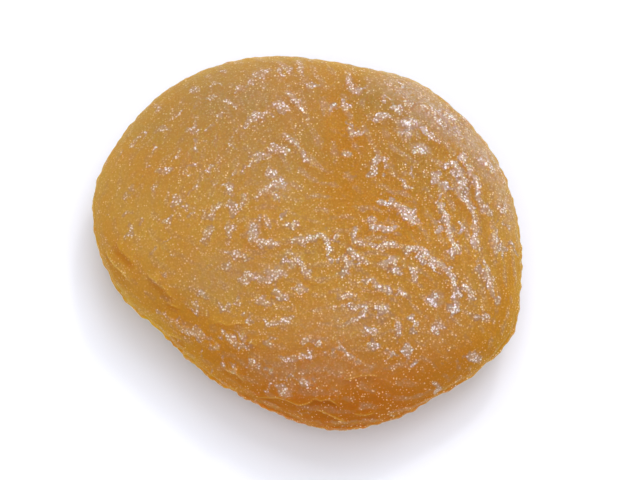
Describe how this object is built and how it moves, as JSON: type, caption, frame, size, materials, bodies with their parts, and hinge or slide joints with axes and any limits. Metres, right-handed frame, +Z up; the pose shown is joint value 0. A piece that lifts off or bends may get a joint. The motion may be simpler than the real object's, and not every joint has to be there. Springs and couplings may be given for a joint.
{
  "type": "dried apricot",
  "caption": "Whole pitted dried apricot: a plump wrinkled disc of amber fruit with the stone's mouth closed along one edge.",
  "frame": {"origin": "middle of the underside, on the surface that the fruit rests on", "axes": "+X along the fruit's long way, +Y away from the stone's mouth, +Z up out of the broad upper face"},
  "size_m": [0.0402, 0.0359, 0.0118],
  "materials": {
    "apricot_skin": "translucent amber fruit skin, wrinkled, softly glossy on its ridges"
  },
  "bodies": {
    "root": {"dried_apricot": "apricot_skin"}
  },
  "joints": []
}
